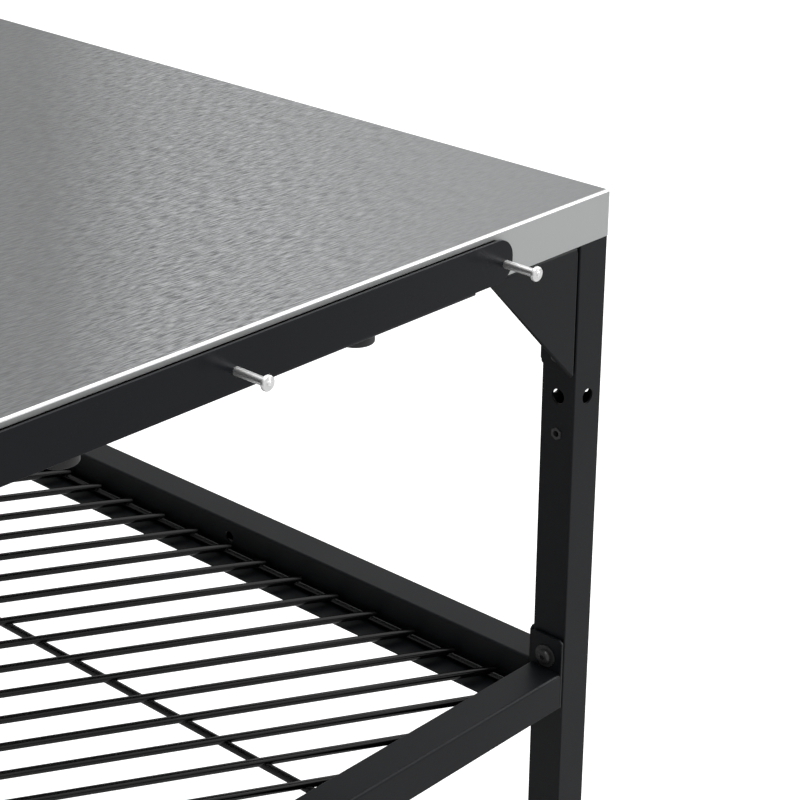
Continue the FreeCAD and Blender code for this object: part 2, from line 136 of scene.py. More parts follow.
studio_light("softbox_over", (0.1, -0.5, 3.2), (0.1, -0.3, 0.8), 1.5, 22)
studio_light("softbox_right", (3.2, -1.6, 2.3), (0.2, -0.3, 0.8), 2.2, 54)

bpy.ops.object.select_all(action="DESELECT")
bpy.ops.mesh.primitive_plane_add(size=FLOOR_SIZE)
floor = bpy.context.active_object
floor.name = "floor"
paint = bpy.data.materials.new("floor_white")
paint.use_nodes = True
tree = paint.node_tree
shader = tree.nodes["Principled BSDF"]
shader.inputs["Base Color"].default_value = (FLOOR_GREY, FLOOR_GREY, FLOOR_GREY, 1)
shader.inputs["Roughness"].default_value = 0.8
shader.inputs["Specular IOR Level"].default_value = 0.1
shader.inputs["Emission Color"].default_value = (1, 1, 1, 1)
seen = add_node(tree, "ShaderNodeLightPath", -600, -300)
glow = add_node(tree, "ShaderNodeMath", -400, -300, operation="MULTIPLY")
glow.inputs[1].default_value = FLOOR_GLOW
tree.links.new(seen.outputs["Is Camera Ray"], glow.inputs[0])
tree.links.new(glow.outputs["Value"], shader.inputs["Emission Strength"])
floor.data.materials.append(paint)


# Table top. One sheet of stainless steel, brushed lengthwise, with its four sides folded
# down into an apron. The corners are welded and ground flush, and the upper rim is left
# with the round of the fold, which catches the overhead light and is also painted near
# white in its colour, as a painted highlight.
TOP_RIM = 0.0014
TOP_SHEET = 0.0008
SHEET_EDGE = 0.00015
SHARP_ANGLE = 50.0        # degrees at an edge, from which it is broken
SMOOTH_ANGLE = 35.0       # degrees at an edge, up to which it is shaded as round
FLAT_WIDTH = 0.0015       # mean width of a face, from which it is shaded as flat
BRUSHING_TURN = -3.0      # degrees between the brushing and the front edge
BRUSHING = (110, 900, 900)  # streaks to a metre, along, across and up
FAN_POINT = Vector((-0.69, -1.146, 0))  # where the fan of painted highlight and painted reflection on the sheet starts: below the camera
top_low, top_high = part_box("top_panel")


def box_piece(name, low, high):
    """A box between two corners, alone in the selection, to be shaped further."""
    bpy.ops.object.select_all(action="DESELECT")
    bpy.ops.mesh.primitive_cube_add(size=1)
    piece = bpy.context.active_object
    piece.name = piece.data.name = name
    piece.scale = Vector(high) - Vector(low)
    piece.location = (Vector(high) + Vector(low)) / 2
    bpy.ops.object.transform_apply(location=True, rotation=True, scale=True)
    return piece


def middle(item):
    """The middle of a face or an edge."""
    corners = [corner.co for corner in item.verts]
    return sum(corners, Vector()) / len(corners)


def pick(piece, kind, test):
    """In edit mode, selects the faces, edges or corners that pass a test, and nothing else."""
    bpy.ops.mesh.select_mode(type=kind)
    bpy.ops.mesh.select_all(action="DESELECT")
    mesh = bmesh.from_edit_mesh(piece.data)
    items = {"FACE": mesh.faces, "EDGE": mesh.edges, "VERT": mesh.verts}[kind]
    for item in items:
        if test(item):
            item.select_set(True)
    mesh.select_flush_mode()
    bmesh.update_edit_mesh(piece.data)


def near(a, b):
    return abs(a - b) < 1e-5


def level(edge, height):
    """Whether an edge lies level at a height."""
    return all(near(end.co.z, height) for end in edge.verts)


def is_fold(edge):
    """Whether two faces of a sheet meet at an edge at more than a radian."""
    return len(edge.link_faces) == 2 and edge.calc_face_angle() > 1


def is_flat(face):
    """Whether a face is a flat of its piece, and not a strip of something round."""
    return face.calc_area() / max(edge.calc_length() for edge in face.edges) > FLAT_WIDTH


def finish_edges(piece, width, segments=2):
    """Breaks the sharp edges of a piece and smooths what is round."""
    bpy.ops.object.select_all(action="DESELECT")
    piece.select_set(True)
    bpy.context.view_layer.objects.active = piece
    if width:
        edge = piece.modifiers.new("edge", "BEVEL")
        edge.width = width
        edge.segments = segments
        edge.limit_method = "ANGLE"
        edge.angle_limit = math.radians(SHARP_ANGLE)
        bpy.ops.object.modifier_apply(modifier="edge")
    bpy.ops.object.shade_smooth_by_angle(angle=math.radians(SMOOTH_ANGLE))
    bpy.ops.object.mode_set(mode="EDIT")
    pick(piece, "FACE", is_flat)
    bpy.ops.mesh.faces_shade_flat()
    bpy.ops.object.mode_set(mode="OBJECT")


def thicken(piece, sheet, inward=True):
    """Gives a folded face its sheet thickness, behind the face or in front of it."""
    wall = piece.modifiers.new("sheet", "SOLIDIFY")
    wall.thickness = sheet
    wall.offset = -1 if inward else 1
    wall.use_even_offset = True
    bpy.context.view_layer.objects.active = piece
    bpy.ops.object.modifier_apply(modifier="sheet")


top = box_piece("table_top", top_low, top_high)
bpy.ops.object.mode_set(mode="EDIT")
pick(top, "FACE", lambda face: near(middle(face).z, top_low.z))
bpy.ops.mesh.delete(type="FACE")
pick(top, "EDGE", lambda edge: level(edge, top_high.z))
bpy.ops.mesh.bevel(offset=TOP_RIM, segments=6, affect="EDGES")
bpy.ops.object.mode_set(mode="OBJECT")
thicken(top, TOP_SHEET)
finish_edges(top, SHEET_EDGE)

# Streaks are drawn once, as a group, for the top and for every other brushed piece.
streaks = bpy.data.node_groups.new("brushed_streaks", "ShaderNodeTree")
for name, kind in (("Turn", "NodeSocketVector"), ("Stretch", "NodeSocketVector"),
                   ("Patches", "NodeSocketFloat")):
    streaks.interface.new_socket(name, in_out="INPUT", socket_type=kind)
for name in ("Streak", "Patch"):
    streaks.interface.new_socket(name, in_out="OUTPUT", socket_type="NodeSocketFloat")
given = add_node(streaks, "NodeGroupInput", -1000, 0)
result = add_node(streaks, "NodeGroupOutput", 600, 0)
place = add_node(streaks, "ShaderNodeTexCoord", -1000, 300)
turned = add_node(streaks, "ShaderNodeMapping", -800, 200)
stretched = add_node(streaks, "ShaderNodeVectorMath", -600, 200, operation="MULTIPLY")
fine = add_node(streaks, "ShaderNodeTexNoise", -400, 300)
fine.inputs["Scale"].default_value = 1.0
fine.inputs["Detail"].default_value = 3.0
fine.inputs["Roughness"].default_value = 0.6
patches = add_node(streaks, "ShaderNodeTexNoise", -400, -100)
patches.inputs["Detail"].default_value = 2.0
streaks.links.new(place.outputs["Object"], turned.inputs["Vector"])
streaks.links.new(given.outputs["Turn"], turned.inputs["Rotation"])
streaks.links.new(turned.outputs["Vector"], stretched.inputs[0])
streaks.links.new(given.outputs["Stretch"], stretched.inputs[1])
streaks.links.new(stretched.outputs["Vector"], fine.inputs["Vector"])
streaks.links.new(turned.outputs["Vector"], patches.inputs["Vector"])
streaks.links.new(given.outputs["Patches"], patches.inputs["Scale"])
streaks.links.new(fine.outputs["Fac"], result.inputs["Streak"])
streaks.links.new(patches.outputs["Fac"], result.inputs["Patch"])


def new_material(name):
    """An empty material with its shader, and the tree that they are in."""
    material = bpy.data.materials.new(name)
    material.use_nodes = True
    return material, material.node_tree, material.node_tree.nodes["Principled BSDF"]


def place_group(tree, group, x, y, **values):
    node = add_node(tree, "ShaderNodeGroup", x, y, node_tree=group)
    for key, value in values.items():
        node.inputs[key].default_value = value
    return node


def colour_ramp(tree, x, y, *stops):
    """A ramp through (position, grey or colour) stops."""
    ramp = add_node(tree, "ShaderNodeValToRGB", x, y)
    while len(ramp.color_ramp.elements) < len(stops):
        ramp.color_ramp.elements.new(0.5)
    for element, (position, colour) in zip(ramp.color_ramp.elements, stops):
        element.position = position
        element.color = (*colour, 1) if isinstance(colour, tuple) else (colour, colour, colour, 1)
    return ramp


brushed_steel, tree, shader = new_material("brushed_stainless_steel")
grain = place_group(tree, streaks, -900, 0, Turn=(0, 0, math.radians(-BRUSHING_TURN)),
                    Stretch=BRUSHING, Patches=5.0)
facing = add_node(tree, "ShaderNodeNewGeometry", -1300, 500)
upward = add_node(tree, "ShaderNodeSeparateXYZ", -1100, 500)
tree.links.new(facing.outputs["True Normal"], upward.inputs["Vector"])

# The brushing shows most, and the sheet is brightest, in a fan that opens from the camera
# towards the back: a painted highlight band and a painted reflection, fitted to that one
# view. Its stops are parts of a full turn.
place = add_node(tree, "ShaderNodeTexCoord", -1500, 800)
shifted = add_node(tree, "ShaderNodeMapping", -1300, 800)
shifted.inputs["Location"].default_value = -FAN_POINT
fan = add_node(tree, "ShaderNodeTexGradient", -1100, 800, gradient_type="RADIAL")
# The first ramp is a painted highlight band: where the streaks show in colour, and how deep their relief
# is.
depth = colour_ramp(tree, -900, 800, (0.607, 0.1), (0.6139, 0.24), (0.628, 1.0), (0.6385, 1.0),
                    (0.6447, 0.35), (0.67, 0.7))
# The second ramp is a painted reflection: a brightness that multiplies the sheet's colour.
painted_reflection = colour_ramp(tree, -900, 1100, (0.604, 0.84), (0.628, 1.0), (0.6364, 0.95), (0.6447, 0.68),
                    (0.68, 0.95))
tree.links.new(place.outputs["Object"], shifted.inputs["Vector"])
tree.links.new(shifted.outputs["Vector"], fan.inputs["Vector"])
tree.links.new(fan.outputs["Fac"], depth.inputs["Fac"])
tree.links.new(fan.outputs["Fac"], painted_reflection.inputs["Fac"])

# Colour. The flat of the sheet shows the streaks and the painted reflection, the folded
# sides are even and painted brighter than the flat as painted light, and the round of the
# fold between them is bright, painted near white as a painted highlight.
tint = colour_ramp(tree, -900, 300, (0.36, (0.18, 0.183, 0.187)), (0.64, (0.61, 0.618, 0.625)))
brushed = add_node(tree, "ShaderNodeMix", -700, 300, data_type="RGBA")
brushed.inputs["A"].default_value = (0.395, 0.4, 0.405, 1)
shaded = add_node(tree, "ShaderNodeMix", -500, 300, data_type="RGBA", blend_type="MULTIPLY")
shaded.inputs["Factor"].default_value = 1.0
# The folded sides get one plain colour, brighter than the flat: painted light.
sides = add_node(tree, "ShaderNodeMix", -300, 300, data_type="RGBA")
sides.inputs["A"].default_value = (0.54, 0.551, 0.551, 1)
# The round of the fold is painted near white: a painted highlight.
rim = colour_ramp(tree, -500, 1000, (0.0, 0.0), (0.05, 1.0), (0.997, 0.0))
rim.color_ramp.interpolation = "CONSTANT"
painted_rim_highlight = add_node(tree, "ShaderNodeMix", -100, 400, data_type="RGBA")
painted_rim_highlight.inputs["B"].default_value = (0.97, 0.975, 0.98, 1)
tree.links.new(grain.outputs["Streak"], tint.inputs["Fac"])
tree.links.new(depth.outputs["Color"], brushed.inputs["Factor"])
tree.links.new(tint.outputs["Color"], brushed.inputs["B"])
tree.links.new(brushed.outputs["Result"], shaded.inputs["A"])
tree.links.new(painted_reflection.outputs["Color"], shaded.inputs["B"])
tree.links.new(upward.outputs["Z"], sides.inputs["Factor"])
tree.links.new(shaded.outputs["Result"], sides.inputs["B"])
tree.links.new(upward.outputs["Z"], rim.inputs["Fac"])
tree.links.new(rim.outputs["Color"], painted_rim_highlight.inputs["Factor"])
tree.links.new(sides.outputs["Result"], painted_rim_highlight.inputs["A"])
tree.links.new(painted_rim_highlight.outputs["Result"], shader.inputs["Base Color"])

# Gloss changes in patches on the flat, and the sides are duller. The relief of the streaks
# is as deep as the fan says, on the flat only.
gloss = colour_ramp(tree, -600, -100, (0.2, 0.36), (0.8, 0.46))
satin = add_node(tree, "ShaderNodeMix", -300, -100)
satin.inputs["A"].default_value = 0.6
streaked = add_node(tree, "ShaderNodeMath", -700, -400, operation="MULTIPLY")
relief_depth = add_node(tree, "ShaderNodeMath", -500, -400, operation="MULTIPLY")
relief_depth.inputs[1].default_value = 0.6
relief = add_node(tree, "ShaderNodeBump", -300, -300)
relief.inputs["Distance"].default_value = 0.0002
tree.links.new(grain.outputs["Patch"], gloss.inputs["Fac"])
tree.links.new(upward.outputs["Z"], satin.inputs["Factor"])
tree.links.new(gloss.outputs["Color"], satin.inputs["B"])
tree.links.new(satin.outputs["Result"], shader.inputs["Roughness"])
tree.links.new(depth.outputs["Color"], streaked.inputs[0])
tree.links.new(upward.outputs["Z"], streaked.inputs[1])
tree.links.new(streaked.outputs["Value"], relief_depth.inputs[0])
tree.links.new(relief_depth.outputs["Value"], relief.inputs["Strength"])
tree.links.new(grain.outputs["Streak"], relief.inputs["Height"])
tree.links.new(relief.outputs["Normal"], shader.inputs["Normal"])
shader.inputs["Metallic"].default_value = 1.0
top.data.materials.append(brushed_steel)
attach(top, "table")
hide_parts("top_panel")


# Upper frame. Rectangular steel tubes behind the apron and two hat-shaped braces under
# the sheet, all welded and powder coated black. These are the frame's own solids.
CLOUDS = 13.0             # to a metre
COAT_RELIEF = 0.3
coat_texture = bpy.data.node_groups.new("coat_texture", "ShaderNodeTree")
for name in ("Grain Scale", "Cloud Scale"):
    coat_texture.interface.new_socket(name, in_out="INPUT", socket_type="NodeSocketFloat")
for name in ("Grain", "Cloud"):
    coat_texture.interface.new_socket(name, in_out="OUTPUT", socket_type="NodeSocketFloat")
given = add_node(coat_texture, "NodeGroupInput", -600, 0)
result = add_node(coat_texture, "NodeGroupOutput", 200, 0)
place = add_node(coat_texture, "ShaderNodeTexCoord", -600, 300)
peel = add_node(coat_texture, "ShaderNodeTexNoise", -300, 200)
peel.inputs["Detail"].default_value = 2.0
cloud = add_node(coat_texture, "ShaderNodeTexNoise", -300, -100)
cloud.inputs["Detail"].default_value = 3.0
coat_texture.links.new(place.outputs["Object"], peel.inputs["Vector"])
coat_texture.links.new(place.outputs["Object"], cloud.inputs["Vector"])
coat_texture.links.new(given.outputs["Grain Scale"], peel.inputs["Scale"])
coat_texture.links.new(given.outputs["Cloud Scale"], cloud.inputs["Scale"])
coat_texture.links.new(peel.outputs["Fac"], result.inputs["Grain"])
coat_texture.links.new(cloud.outputs["Fac"], result.inputs["Cloud"])


def coated(name, dark, light, roughness, grain, specular):
    """A finish whose colour and gloss drift in soft clouds over a fine grain. Roughness goes
    from the dark clouds to the light ones, and grain is its scale and its height."""
    material, tree, shader = new_material(name)
    texture = place_group(tree, coat_texture, -900, 0, **{"Grain Scale": grain[0], "Cloud Scale": CLOUDS})
    tint = colour_ramp(tree, -600, 200, (0.3, dark), (0.7, light))
    gloss = colour_ramp(tree, -600, -100, (0.3, roughness[0]), (0.7, roughness[1]))
    relief = add_node(tree, "ShaderNodeBump", -300, -300)
    relief.inputs["Strength"].default_value = COAT_RELIEF
    relief.inputs["Distance"].default_value = grain[1]
    tree.links.new(texture.outputs["Cloud"], tint.inputs["Fac"])
    tree.links.new(texture.outputs["Cloud"], gloss.inputs["Fac"])
    tree.links.new(texture.outputs["Grain"], relief.inputs["Height"])
    tree.links.new(tint.outputs["Color"], shader.inputs["Base Color"])
    tree.links.new(gloss.outputs["Color"], shader.inputs["Roughness"])
    tree.links.new(relief.outputs["Normal"], shader.inputs["Normal"])
    shader.inputs["Specular IOR Level"].default_value = specular
    return material


frame_coat = coated("black_powder_coat", (0.0044, 0.0054, 0.0066), (0.0060, 0.0070, 0.0083),
                    roughness=(0.42, 0.5), grain=(1350, 0.00013), specular=0.21)


def dress(node, material):
    """Gives one of the frame's own solids its finish."""
    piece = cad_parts[node]
    piece.data.materials.clear()
    piece.data.materials.append(material)


for side in ("front", "rear", "left", "right"):
    dress(side + "_frame_rail", frame_coat)
for side in ("front", "rear"):
    dress(side + "_brace", frame_coat)


# Legs. Square steel tube with rounded corners, powder coated, with a pair of cross holes
# near the top and a small hexagonal opening for a threaded insert on the inner side.
LEG_CORNER = 0.0008
LEG_WALL = 0.0015
CROSS_HOLE = 0.0047       # radius
CROSS_HOLE_HEIGHT = 0.7738
INSERT_HEIGHT = 0.7495
INSERT_OPENING = 0.00604  # across its flats
OUTSIDE = 0.03            # from the leg's axis, where its holes start
EDGE_BREAK = 0.0002
leg_low, leg_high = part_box("leg_rear_right")
leg_axis = Vector(((leg_low.x + leg_high.x) / 2, (leg_low.y + leg_high.y) / 2, 0))
leg_half = (leg_high.x - leg_low.x) / 2
corners = {"front_left": (-1, -1), "front_right": (1, -1), "rear_left": (-1, 1), "rear_right": (1, 1)}


def to_corner(side, swapped=False):
    """Takes a piece built about a leg's own axis to one of the four legs. Swapped changes
    lengthwise and crosswise over."""
    mirror = Matrix.Diagonal((side[0], side[1], 1, 1))
    swap = Matrix(((0, 1, 0, 0), (1, 0, 0, 0), (0, 0, 1, 0), (0, 0, 0, 1))) if swapped else Matrix()
    return Matrix.Translation((side[0] * leg_axis.x, side[1] * leg_axis.y, 0)) @ mirror @ swap


def copy_piece(piece, name, move):
    """A copy with its own mesh, moved into place, with its faces still pointing outwards."""
    twin = piece.copy()
    twin.data = piece.data.copy()
    twin.name = twin.data.name = name
    bpy.context.scene.collection.objects.link(twin)
    twin.data.transform(move)
    if move.determinant() < 0:
        twin.data.flip_normals()
    return twin


def cylinder(name, radius, start, end, sides):
    """A round or many-sided bar between two points, alone in the selection."""
    start, end = Vector(start), Vector(end)
    bpy.ops.object.select_all(action="DESELECT")
    bpy.ops.mesh.primitive_cylinder_add(vertices=sides, radius=radius, depth=(end - start).length)
    piece = bpy.context.active_object
    piece.name = piece.data.name = name
    piece.rotation_mode = "QUATERNION"
    piece.rotation_quaternion = (end - start).to_track_quat("Z", "Y")
    piece.location = (start + end) / 2
    bpy.ops.object.transform_apply(location=True, rotation=True, scale=True)
    return piece


def hexagon(width):
    """Radius at the corners of a hexagon, from its width across the flats."""
    return width / 2 / math.cos(math.pi / 6)


def drill(piece, radius, start, end, sides=48):
    """Cuts a round or many-sided hole between two points."""
    bit = cylinder("drill_bit", radius, start, end, sides)
    hole = piece.modifiers.new("hole", "BOOLEAN")
    hole.operation = "DIFFERENCE"
    hole.solver = "EXACT"
    hole.object = bit
    bpy.context.view_layer.objects.active = piece
    bpy.ops.object.modifier_apply(modifier="hole")
    bpy.data.objects.remove(bit)


leg = box_piece("leg", (-leg_half, -leg_half, leg_low.z), (leg_half, leg_half, leg_high.z))
bpy.ops.object.mode_set(mode="EDIT")
pick(leg, "FACE", lambda face: abs(face.normal.z) > 0.9)
bpy.ops.mesh.delete(type="ONLY_FACE")
pick(leg, "EDGE", lambda edge: not near(edge.verts[0].co.z, edge.verts[1].co.z))
bpy.ops.mesh.bevel(offset=LEG_CORNER, segments=5, affect="EDGES")
bpy.ops.object.mode_set(mode="OBJECT")
thicken(leg, LEG_WALL)
drill(leg, CROSS_HOLE, (-OUTSIDE, 0, CROSS_HOLE_HEIGHT), (OUTSIDE, 0, CROSS_HOLE_HEIGHT))
drill(leg, CROSS_HOLE, (0, -OUTSIDE, CROSS_HOLE_HEIGHT), (0, OUTSIDE, CROSS_HOLE_HEIGHT))
drill(leg, hexagon(INSERT_OPENING), (-OUTSIDE, 0, INSERT_HEIGHT), (0, 0, INSERT_HEIGHT), sides=6)
finish_edges(leg, EDGE_BREAK)
leg.data.materials.append(frame_coat)
for name, side in corners.items():
    piece = copy_piece(leg, "leg_tube_" + name, to_corner(side))
    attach(piece, "table")
    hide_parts("leg_" + name)
bpy.data.objects.remove(leg)


# Feet. Black plastic plugs pressed into the ends of the legs, with a square pad below
# whose edges are rounded for sliding over paving.
FOOT_HEIGHT = 0.004
FOOT_DEPTH = 0.018
FOOT_INSET = 0.001
PLUG_INSET = 0.0018
FOOT_EDGE = 0.0006
foot_plastic = coated("black_foot_plastic", (0.012, 0.012, 0.012), (0.02, 0.02, 0.02),
                      roughness=(0.5, 0.6), grain=(1500, 0.0001), specular=0.4)
pad_half = leg_half - FOOT_INSET
plug_half = leg_half - PLUG_INSET
foot = box_piece("foot", (-pad_half, -pad_half, 0), (pad_half, pad_half, FOOT_HEIGHT))
bpy.ops.object.mode_set(mode="EDIT")
pick(foot, "FACE", lambda face: face.normal.z > 0.9)
bpy.ops.mesh.inset(thickness=pad_half - plug_half)
bpy.ops.mesh.extrude_region_move(TRANSFORM_OT_translate={"value": (0, 0, FOOT_DEPTH)})
bpy.ops.object.mode_set(mode="OBJECT")
finish_edges(foot, FOOT_EDGE, 3)
foot.data.materials.append(foot_plastic)
for name, side in corners.items():
    piece = copy_piece(foot, "foot_" + name, to_corner(side))
    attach(piece, "table")
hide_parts("leg_feet")
bpy.data.objects.remove(foot)


# Gussets. Two folded triangles of sheet steel brace each leg: the upper flange is welded
# under the frame, and the side flange is bolted to the leg against its rivet nuts.
GUSSET_SHEET = 0.0015
GUSSET_BEND = 0.0018
GUSSET_RELIEF = 0.0033
GUSSET_TOP_FLANGE = 0.0187
GUSSET_CHAMFER = 0.0027
gusset_low, gusset_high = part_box("gusset_rear_right_lengthwise")
gusset_low, gusset_high = gusset_low - leg_axis, gusset_high - leg_axis
gusset = box_piece("gusset", gusset_low, gusset_high)
relief_z = gusset_high.z - GUSSET_RELIEF
relief_x = gusset_high.x - GUSSET_BEND
bpy.ops.object.mode_set(mode="EDIT")
pick(gusset, "FACE", lambda face: face.normal.y < 0.9)
bpy.ops.mesh.delete(type="FACE")
for point, normal in (((0, 0, relief_z), (0, 0, 1)), ((relief_x, 0, 0), (1, 0, 0))):
    bpy.ops.mesh.select_all(action="SELECT")
    bpy.ops.mesh.bisect(plane_co=point, plane_no=normal)
pick(gusset, "FACE", lambda face: middle(face).x > relief_x and middle(face).z > relief_z)
bpy.ops.mesh.delete(type="FACE")
pick(gusset, "EDGE", lambda edge: level(edge, gusset_high.z))
bpy.ops.mesh.extrude_region_move(TRANSFORM_OT_translate={"value": (0, -GUSSET_TOP_FLANGE, 0)})
pick(gusset, "EDGE", lambda edge: all(near(end.co.x, gusset_high.x) for end in edge.verts))
bpy.ops.mesh.extrude_region_move(TRANSFORM_OT_translate={"value": (0, gusset_low.y - gusset_high.y, 0)})
pick(gusset, "EDGE", is_fold)
bpy.ops.mesh.bevel(offset=GUSSET_BEND, segments=5, affect="EDGES")
bpy.ops.mesh.select_all(action="SELECT")
reach = gusset_high.x - GUSSET_SHEET - gusset_low.x
drop = gusset_high.z - GUSSET_SHEET - gusset_low.z
bpy.ops.mesh.bisect(plane_co=(gusset_low.x, 0, gusset_high.z - GUSSET_SHEET),
                    plane_no=(-drop, 0, -reach), clear_outer=True)
pick(gusset, "VERT", lambda corner: near(corner.co.y, gusset_low.y) and near(corner.co.z, gusset_low.z))
bpy.ops.mesh.bevel(offset=GUSSET_CHAMFER, affect="VERTICES")
bpy.ops.mesh.select_all(action="SELECT")
bpy.ops.mesh.normals_make_consistent(inside=False)
bpy.ops.object.mode_set(mode="OBJECT")
outer = max(gusset.data.polygons, key=lambda face: face.area)
thicken(gusset, GUSSET_SHEET, inward=outer.normal.y > 0)
finish_edges(gusset, EDGE_BREAK)
gusset.data.materials.append(frame_coat)
for name, side in corners.items():
    for way, swapped in (("lengthwise", False), ("crosswise", True)):
        piece = copy_piece(gusset, "gusset_plate_" + name + "_" + way, to_corner(side, swapped))
        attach(piece, "table")
        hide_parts("gusset_" + name + "_" + way)
bpy.data.objects.remove(gusset)


# Bolts and nuts. Black button-head screws with a hexagonal socket hold the gussets, and
# larger ones on washers hold the shelf. They run into rivet nuts set in the legs.
GUSSET_FACE = 0.0150      # of the bolted flange, from the leg's axis
SHELF_FACE = 0.0152       # of a shelf rail's end plate
GUSSET_BOLT_HEIGHTS = (0.8490, 0.8004)
SHELF_BOLT_HEIGHT = 0.5978
SMALL_SCREW = (0.0036, 0.0022, 0.0025)  # radius and thickness of the head, width of the socket
LARGE_SCREW = (0.00475, 0.0029, 0.0032)
SCREW_EDGE = 0.00008
WASHER_OUTER = 0.0074
WASHER_INNER = 0.0028
WASHER_THICKNESS = 0.0010
black_zinc = coated("black_zinc", (0.02, 0.02, 0.021), (0.035, 0.035, 0.036),
                    roughness=(0.32, 0.42), grain=(2500, 0.00005), specular=0.5)
dress("leg_rivet_nuts", black_zinc)
dress("accessory_inserts", black_zinc)


def button_screw(name, radius, thickness, socket):
    """Head of a button screw that stands on x = 0 and points to -X."""
    rounding = thickness * 0.8
    socket_floor = thickness * 0.35
    screw = cylinder(name, radius, (0, 0, 0), (0, 0, thickness), 32)
    bpy.ops.object.mode_set(mode="EDIT")
    pick(screw, "EDGE", lambda edge: level(edge, thickness))
    bpy.ops.mesh.bevel(offset=rounding, segments=6, affect="EDGES")
    bpy.ops.object.mode_set(mode="OBJECT")
    drill(screw, hexagon(socket), (0, 0, socket_floor), (0, 0, thickness * 2), sides=6)
    finish_edges(screw, SCREW_EDGE, 1)
    screw.data.transform(Matrix.Rotation(math.radians(-90), 4, "Y"))
    return screw


def washer(name):
    """Flat washer that stands on x = 0."""
    ring = cylinder(name, WASHER_OUTER, (0, 0, 0), (0, 0, WASHER_THICKNESS), 48)
    drill(ring, WASHER_INNER, (0, 0, -WASHER_THICKNESS), (0, 0, WASHER_THICKNESS * 2), sides=32)
    finish_edges(ring, SHEET_EDGE)
    ring.data.transform(Matrix.Rotation(math.radians(-90), 4, "Y"))
    return ring


small_screw = button_screw("small_screw", *SMALL_SCREW)
large_screw = button_screw("large_screw", *LARGE_SCREW)
plain_washer = washer("plain_washer")
fasteners = [("gusset_screw_upper", small_screw, (-GUSSET_FACE, 0, GUSSET_BOLT_HEIGHTS[0])),
             ("gusset_screw_lower", small_screw, (-GUSSET_FACE, 0, GUSSET_BOLT_HEIGHTS[1])),
             ("shelf_washer", plain_washer, (-SHELF_FACE, 0, SHELF_BOLT_HEIGHT)),
             ("shelf_screw", large_screw, (-SHELF_FACE - WASHER_THICKNESS, 0, SHELF_BOLT_HEIGHT))]
for model in (small_screw, large_screw, plain_washer):
    model.data.materials.append(black_zinc)
for kind, model, spot in fasteners:
    for name, side in corners.items():
        for way, swapped in (("lengthwise", False), ("crosswise", True)):
            move = to_corner(side, swapped) @ Matrix.Translation(spot)
            piece = copy_piece(model, kind + "_" + name + "_" + way, move)
            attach(piece, "table")
for model in (small_screw, large_screw, plain_washer):
    bpy.data.objects.remove(model)


# Shelf frame. Four rails of folded sheet go between the legs, each with a ledge inside
# that carries the rack, and with a plate welded on at both ends and bolted to the leg.
RAIL_SHEET = 0.0015
RAIL_BEND = 0.002
LEDGE_BEND = 0.0009
LEDGE_WIDTH = 0.0233
RAIL_WIDTH = 0.025
RAIL_LIP = 0.013          # folded in under the rail
END_PLATE = 0.0017
PLATE_CHAMFER = 0.002
WEB_HOLE = 0.004          # radius
WEB_HOLES = 0.0971        # either side of the middle
RAIL_TOP = 0.5889         # of the rail, below the tops of its end plates
SHORT_LEDGE_GAP = 0.0005  # from a short ledge's ends to the side rails
LONG_LEDGE_GAP = 0.0001   # from a long ledge's ends to its end plates
DRILL_REACH = 0.01        # of a hole's cut, either side of the sheet
rail_low, rail_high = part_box("rear_shelf_rail")
side_low, side_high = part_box("right_shelf_rail")
ledge_top = rail_low.z + RAIL_SHEET
short_ledge = side_low.x - SHORT_LEDGE_GAP
long_ledge = side_high.y - END_PLATE - LONG_LEDGE_GAP


def shelf_rail(name, half, outer_y, ledge_half):
    """Rail along X: from a lip below up the outer face, over the top, down the web and out
    along the ledge."""
    rail = box_piece(name, (-half, outer_y - RAIL_WIDTH, rail_low.z), (half, outer_y, RAIL_TOP))
    bpy.ops.object.mode_set(mode="EDIT")
    pick(rail, "FACE", lambda face: abs(face.normal.x) > 0.9 or face.normal.z < -0.9)
    bpy.ops.mesh.delete(type="ONLY_FACE")
    pick(rail, "EDGE", lambda edge: not edge.link_faces)
    bpy.ops.mesh.delete(type="EDGE")
    inner_y = outer_y - RAIL_WIDTH
    pick(rail, "VERT", lambda corner: near(corner.co.y, inner_y) and near(corner.co.z, rail_low.z))
    bpy.ops.transform.translate(value=(0, 0, RAIL_SHEET))
    for x in (-ledge_half, ledge_half):
        bpy.ops.mesh.select_all(action="SELECT")
        bpy.ops.mesh.bisect(plane_co=(x, 0, 0), plane_no=(1, 0, 0))
    pick(rail, "EDGE", lambda edge: level(edge, ledge_top) and abs(middle(edge).x) < ledge_half)
    bpy.ops.mesh.extrude_region_move(TRANSFORM_OT_translate={"value": (0, -LEDGE_WIDTH, 0)})
    pick(rail, "EDGE", lambda edge: level(edge, rail_low.z))
    bpy.ops.mesh.extrude_region_move(TRANSFORM_OT_translate={"value": (0, -RAIL_LIP, 0)})
    for height, bend, segments in ((RAIL_TOP, RAIL_BEND, 6), (ledge_top, LEDGE_BEND, 3),
                                   (rail_low.z, LEDGE_BEND, 3)):
        pick(rail, "EDGE", lambda edge: is_fold(edge) and near(middle(edge).z, height))
        bpy.ops.mesh.bevel(offset=bend, segments=segments, affect="EDGES")
    bpy.ops.mesh.select_all(action="SELECT")
    bpy.ops.mesh.normals_make_consistent(inside=False)
    bpy.ops.object.mode_set(mode="OBJECT")
    upper = [face for face in rail.data.polygons if near(face.center.z, RAIL_TOP)]
    widest = max(upper, key=lambda face: face.area)
    thicken(rail, RAIL_SHEET, inward=widest.normal.z > 0)
    return rail


